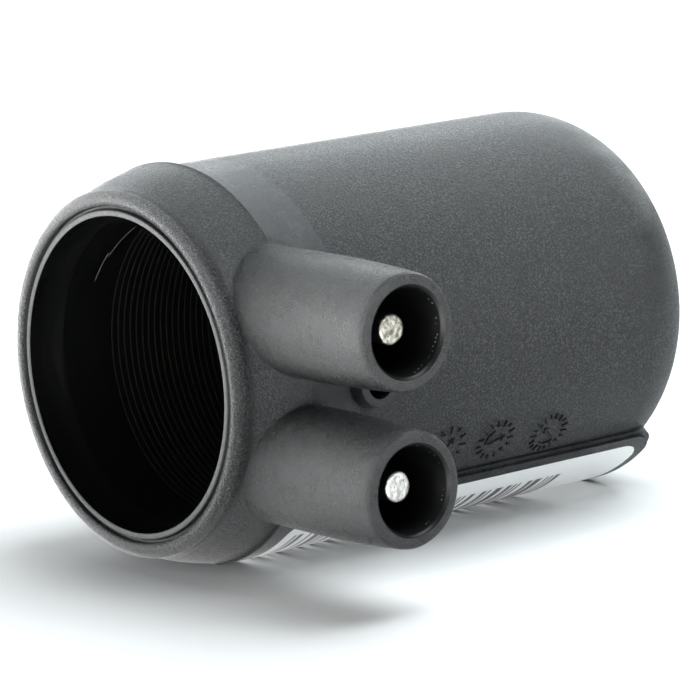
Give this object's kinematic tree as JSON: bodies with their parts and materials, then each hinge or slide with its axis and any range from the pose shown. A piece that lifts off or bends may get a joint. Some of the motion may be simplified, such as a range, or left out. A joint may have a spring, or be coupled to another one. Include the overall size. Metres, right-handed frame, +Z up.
{
  "type": "electrofusion coupler with a closed end",
  "caption": "Black polyethylene electrofusion fitting: an open socket with an inner heating coil, a closed rounded end, and contact pins in shrouds on its side.",
  "frame": {"origin": "on the socket's axis at the stop that the pipe's end meets", "axes": "+X along the socket from its open mouth to the closed end, the contact shrouds point along -Y, +Z up with the label pad and its flat underneath"},
  "size_m": [0.0824, 0.0737, 0.0528],
  "materials": {
    "body": "black polyethylene, spark-eroded outside and smooth on the shrouds and in the socket",
    "coil_wire": "dull copper alloy wire in black polyethylene",
    "contact_metal": "bright tinned metal",
    "indicator": "black polyethylene",
    "label": "white film with plain black bars"
  },
  "bodies": {
    "root": {"body": "body", "heating_coil": "coil_wire", "upper_contact_pin": "contact_metal", "lower_contact_pin": "contact_metal", "fusion_indicator": "indicator", "label": "label"}
  },
  "joints": []
}
